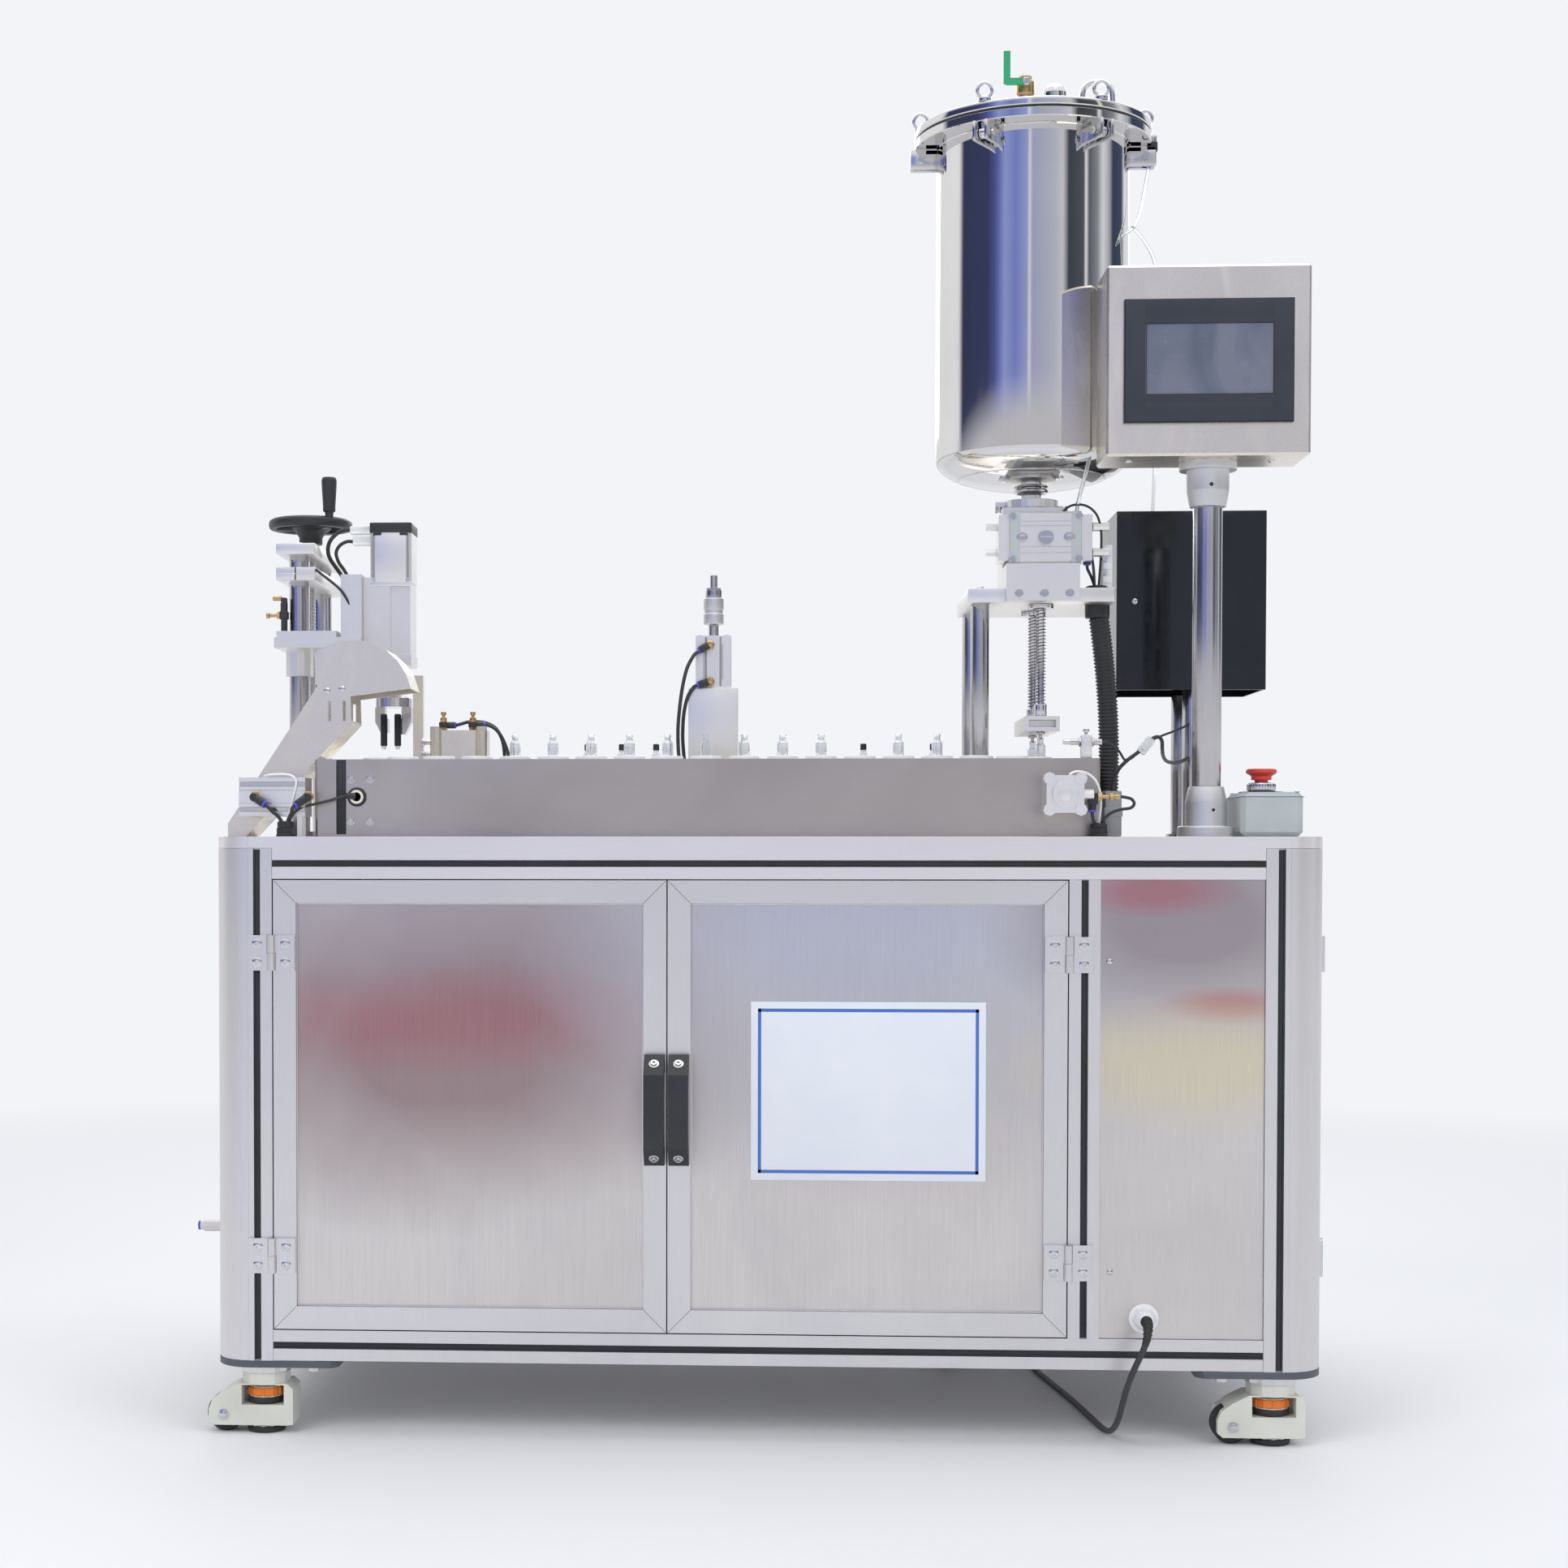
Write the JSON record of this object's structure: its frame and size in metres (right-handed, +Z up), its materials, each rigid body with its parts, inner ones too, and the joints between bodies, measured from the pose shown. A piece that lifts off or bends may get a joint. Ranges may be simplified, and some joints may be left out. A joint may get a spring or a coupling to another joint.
{
  "type": "lip gloss filling machine",
  "caption": "Wheeled profile-frame cabinet with a puck conveyor, tank-fed filling nozzles, press, cap tightening head, discharge chute and swivelling control screen.",
  "frame": {"origin": "on the floor, under the middle of the machine's own box without its mains lead", "axes": "+Z up, -Y out of the front with the two doors and the screen, +X to the right seen from the front, towards the tank and screen"},
  "size_m": [1.52, 0.7598, 1.8255],
  "materials": {
    "profile": "satin anodised extrusion",
    "sheet": "brushed stainless sheet",
    "steel": "ground and polished stainless",
    "polished_steel": "mirror polished stainless",
    "machined_aluminium": "machined and clear anodised",
    "black_plastic": "fine textured",
    "gloss_black": "gloss",
    "black_rubber": "smooth",
    "cream_paint": "smooth cream paint",
    "white_plastic": "smooth",
    "grey_plastic": "fine textured",
    "grey_green_plastic": "fine textured",
    "red_plastic": "smooth",
    "green_plastic": "smooth"
  },
  "bodies": {
    "cabinet": {"corner_post_front_left": "profile", "corner_post_front_right": "profile", "corner_post_rear_left": "profile", "corner_post_rear_right": "profile", "lower_frame": "profile", "table_top": "profile", "front_panel": "sheet", "left_panel": "sheet", "rear_panel": "sheet", "conveyor_deck": "machined_aluminium", "conveyor_skirt": "sheet", "puck_chain": "white_plastic", "fill_stand": "steel", "valve_block": "machined_aluminium", "rotary_actuator": "machined_aluminium", "filling_nozzles": "steel", "tank_body": "polished_steel", "pump_cover": "gloss_black", "pump_stand": "steel", "hmi_pole": "steel", "estop_box": "grey_green_plastic", "press_station": "machined_aluminium", "lift_stand": "steel", "discharge_chute": "sheet", "eject_cylinder": "machined_aluminium", "transfer_cylinder": "machined_aluminium", "cable_conduit": "black_plastic", "mains_gland": "white_plastic", "mains_cord": "black_rubber", "mains_coil": "black_rubber", "mains_plug": "black_rubber"},
    "left_door": {"door_left": "profile", "door_left_sheet": "sheet", "door_handle_left": "black_plastic"},
    "right_door": {"door_right": "profile", "door_right_sheet": "sheet", "door_handle_right": "black_plastic"},
    "end_door": {"side_door": "profile"},
    "swivel_front_left": {"caster_front_left": "cream_paint"},
    "swivel_front_right": {"caster_front_right": "cream_paint"},
    "swivel_rear_left": {"caster_rear_left": "cream_paint"},
    "swivel_rear_right": {"caster_rear_right": "cream_paint"},
    "wheel_front_left": {"caster_wheel_front_left": "black_rubber"},
    "wheel_front_right": {"caster_wheel_front_right": "black_rubber"},
    "wheel_rear_left": {"caster_wheel_rear_left": "black_rubber"},
    "wheel_rear_right": {"caster_wheel_rear_right": "black_rubber"},
    "guide": {"bottle_guide": "steel"},
    "spindle": {"actuator_spindle": "steel"},
    "lid": {"tank_lid": "polished_steel"},
    "lid_lever": {"lid_valve_lever": "green_plastic"},
    "screen": {"hmi_box": "sheet", "hmi_screen": "grey_plastic"},
    "stop_button": {"estop_button": "red_plastic"},
    "press": {"press_rod": "steel"},
    "carriage": {"lift_carriage": "machined_aluminium"},
    "wheel_and_screw": {"handwheel": "steel"},
    "head": {"cap_head": "machined_aluminium"},
    "chuck": {"cap_chuck": "steel"},
    "left_jaw": {"jaw_left": "steel"},
    "right_jaw": {"jaw_right": "steel"}
  },
  "joints": [
    {"name": "left_door_hinge", "type": "hinge", "parent": "cabinet", "child": "left_door", "pos_m": [-0.636, -0.3378, 0.435], "axis": [0, 0, 1], "range_deg": [-110, 0]},
    {"name": "right_door_hinge", "type": "hinge", "parent": "cabinet", "child": "right_door", "pos_m": [0.395, -0.3378, 0.435], "axis": [0, 0, 1], "range_deg": [0, 110]},
    {"name": "end_door_hinge", "type": "hinge", "parent": "cabinet", "child": "end_door", "pos_m": [0.7298, -0.252, 0.435], "axis": [0, 0, 1], "range_deg": [-110, 0]},
    {"name": "swivel_front_left_turn", "type": "hinge", "parent": "cabinet", "child": "swivel_front_left", "pos_m": [-0.653, -0.292, 0.08], "axis": [0, 0, 1], "continuous": true},
    {"name": "swivel_front_right_turn", "type": "hinge", "parent": "cabinet", "child": "swivel_front_right", "pos_m": [0.661, -0.292, 0.08], "axis": [0, 0, 1], "continuous": true},
    {"name": "swivel_rear_left_turn", "type": "hinge", "parent": "cabinet", "child": "swivel_rear_left", "pos_m": [-0.653, 0.328, 0.08], "axis": [0, 0, 1], "continuous": true},
    {"name": "swivel_rear_right_turn", "type": "hinge", "parent": "cabinet", "child": "swivel_rear_right", "pos_m": [0.661, 0.328, 0.08], "axis": [0, 0, 1], "continuous": true},
    {"name": "wheel_front_left_roll", "type": "hinge", "parent": "swivel_front_left", "child": "wheel_front_left", "pos_m": [-0.705, -0.292, 0.025], "axis": [0, 1, 0], "continuous": true},
    {"name": "wheel_front_right_roll", "type": "hinge", "parent": "swivel_front_right", "child": "wheel_front_right", "pos_m": [0.609, -0.292, 0.025], "axis": [0, 1, 0], "continuous": true},
    {"name": "wheel_rear_left_roll", "type": "hinge", "parent": "swivel_rear_left", "child": "wheel_rear_left", "pos_m": [-0.705, 0.328, 0.025], "axis": [0, 1, 0], "continuous": true},
    {"name": "wheel_rear_right_roll", "type": "hinge", "parent": "swivel_rear_right", "child": "wheel_rear_right", "pos_m": [0.609, 0.328, 0.025], "axis": [0, 1, 0], "continuous": true},
    {"name": "guide_slide", "type": "slide", "parent": "cabinet", "child": "guide", "axis": [0, 0, 1], "range_m": [0, 0.05], "stiffness_N_per_m": 400, "springref_m": -0.02},
    {"name": "spindle_turn", "type": "hinge", "parent": "cabinet", "child": "spindle", "pos_m": [0.377, -0.203, 1.1841], "axis": [0, 1, 0], "range_deg": [0, 90]},
    {"name": "lid_lift", "type": "slide", "parent": "cabinet", "child": "lid", "axis": [0, 0, 1], "range_m": [0, 0.15]},
    {"name": "lid_lever_turn", "type": "hinge", "parent": "lid", "child": "lid_lever", "pos_m": [0.349, -0.203, 1.7855], "axis": [0, 1, 0], "range_deg": [0, 90]},
    {"name": "screen_swivel", "type": "hinge", "parent": "cabinet", "child": "screen", "pos_m": [0.58, -0.257, 1.25], "axis": [0, 0, 1], "range_deg": [0, 90]},
    {"name": "stop_button_press", "type": "slide", "parent": "cabinet", "child": "stop_button", "axis": [0, 0, 1], "range_m": [-0.004, 0], "stiffness_N_per_m": 1500},
    {"name": "press_slide", "type": "slide", "parent": "cabinet", "child": "press", "axis": [0, 0, 1], "range_m": [-0.015, 0]},
    {"name": "lift_slide", "type": "slide", "parent": "cabinet", "child": "carriage", "axis": [0, 0, 1], "range_m": [-0.02, 0.02]},
    {"name": "handwheel_turn", "type": "hinge", "parent": "cabinet", "child": "wheel_and_screw", "pos_m": [-0.664, 0.083, 1.205], "axis": [0, 0, 1], "range_deg": [-722, 722]},
    {"name": "head_slide", "type": "slide", "parent": "carriage", "child": "head", "axis": [0, 0, 1], "range_m": [-0.02, 0]},
    {"name": "chuck_turn", "type": "hinge", "parent": "head", "child": "chuck", "pos_m": [-0.531, 0.018, 1], "axis": [0, 0, 1], "continuous": true},
    {"name": "left_jaw_slide", "type": "slide", "parent": "chuck", "child": "left_jaw", "axis": [1, 0, 0], "range_m": [0, 0.005]},
    {"name": "right_jaw_slide", "type": "slide", "parent": "chuck", "child": "right_jaw", "axis": [1, 0, 0], "range_m": [-0.005, 0]}
  ],
  "couplings": [
    {"joint": "handwheel_turn", "follows": "lift_slide", "rad_per_m": -628.32},
    {"joint": "right_jaw_slide", "follows": "left_jaw_slide", "ratio": -1}
  ]
}
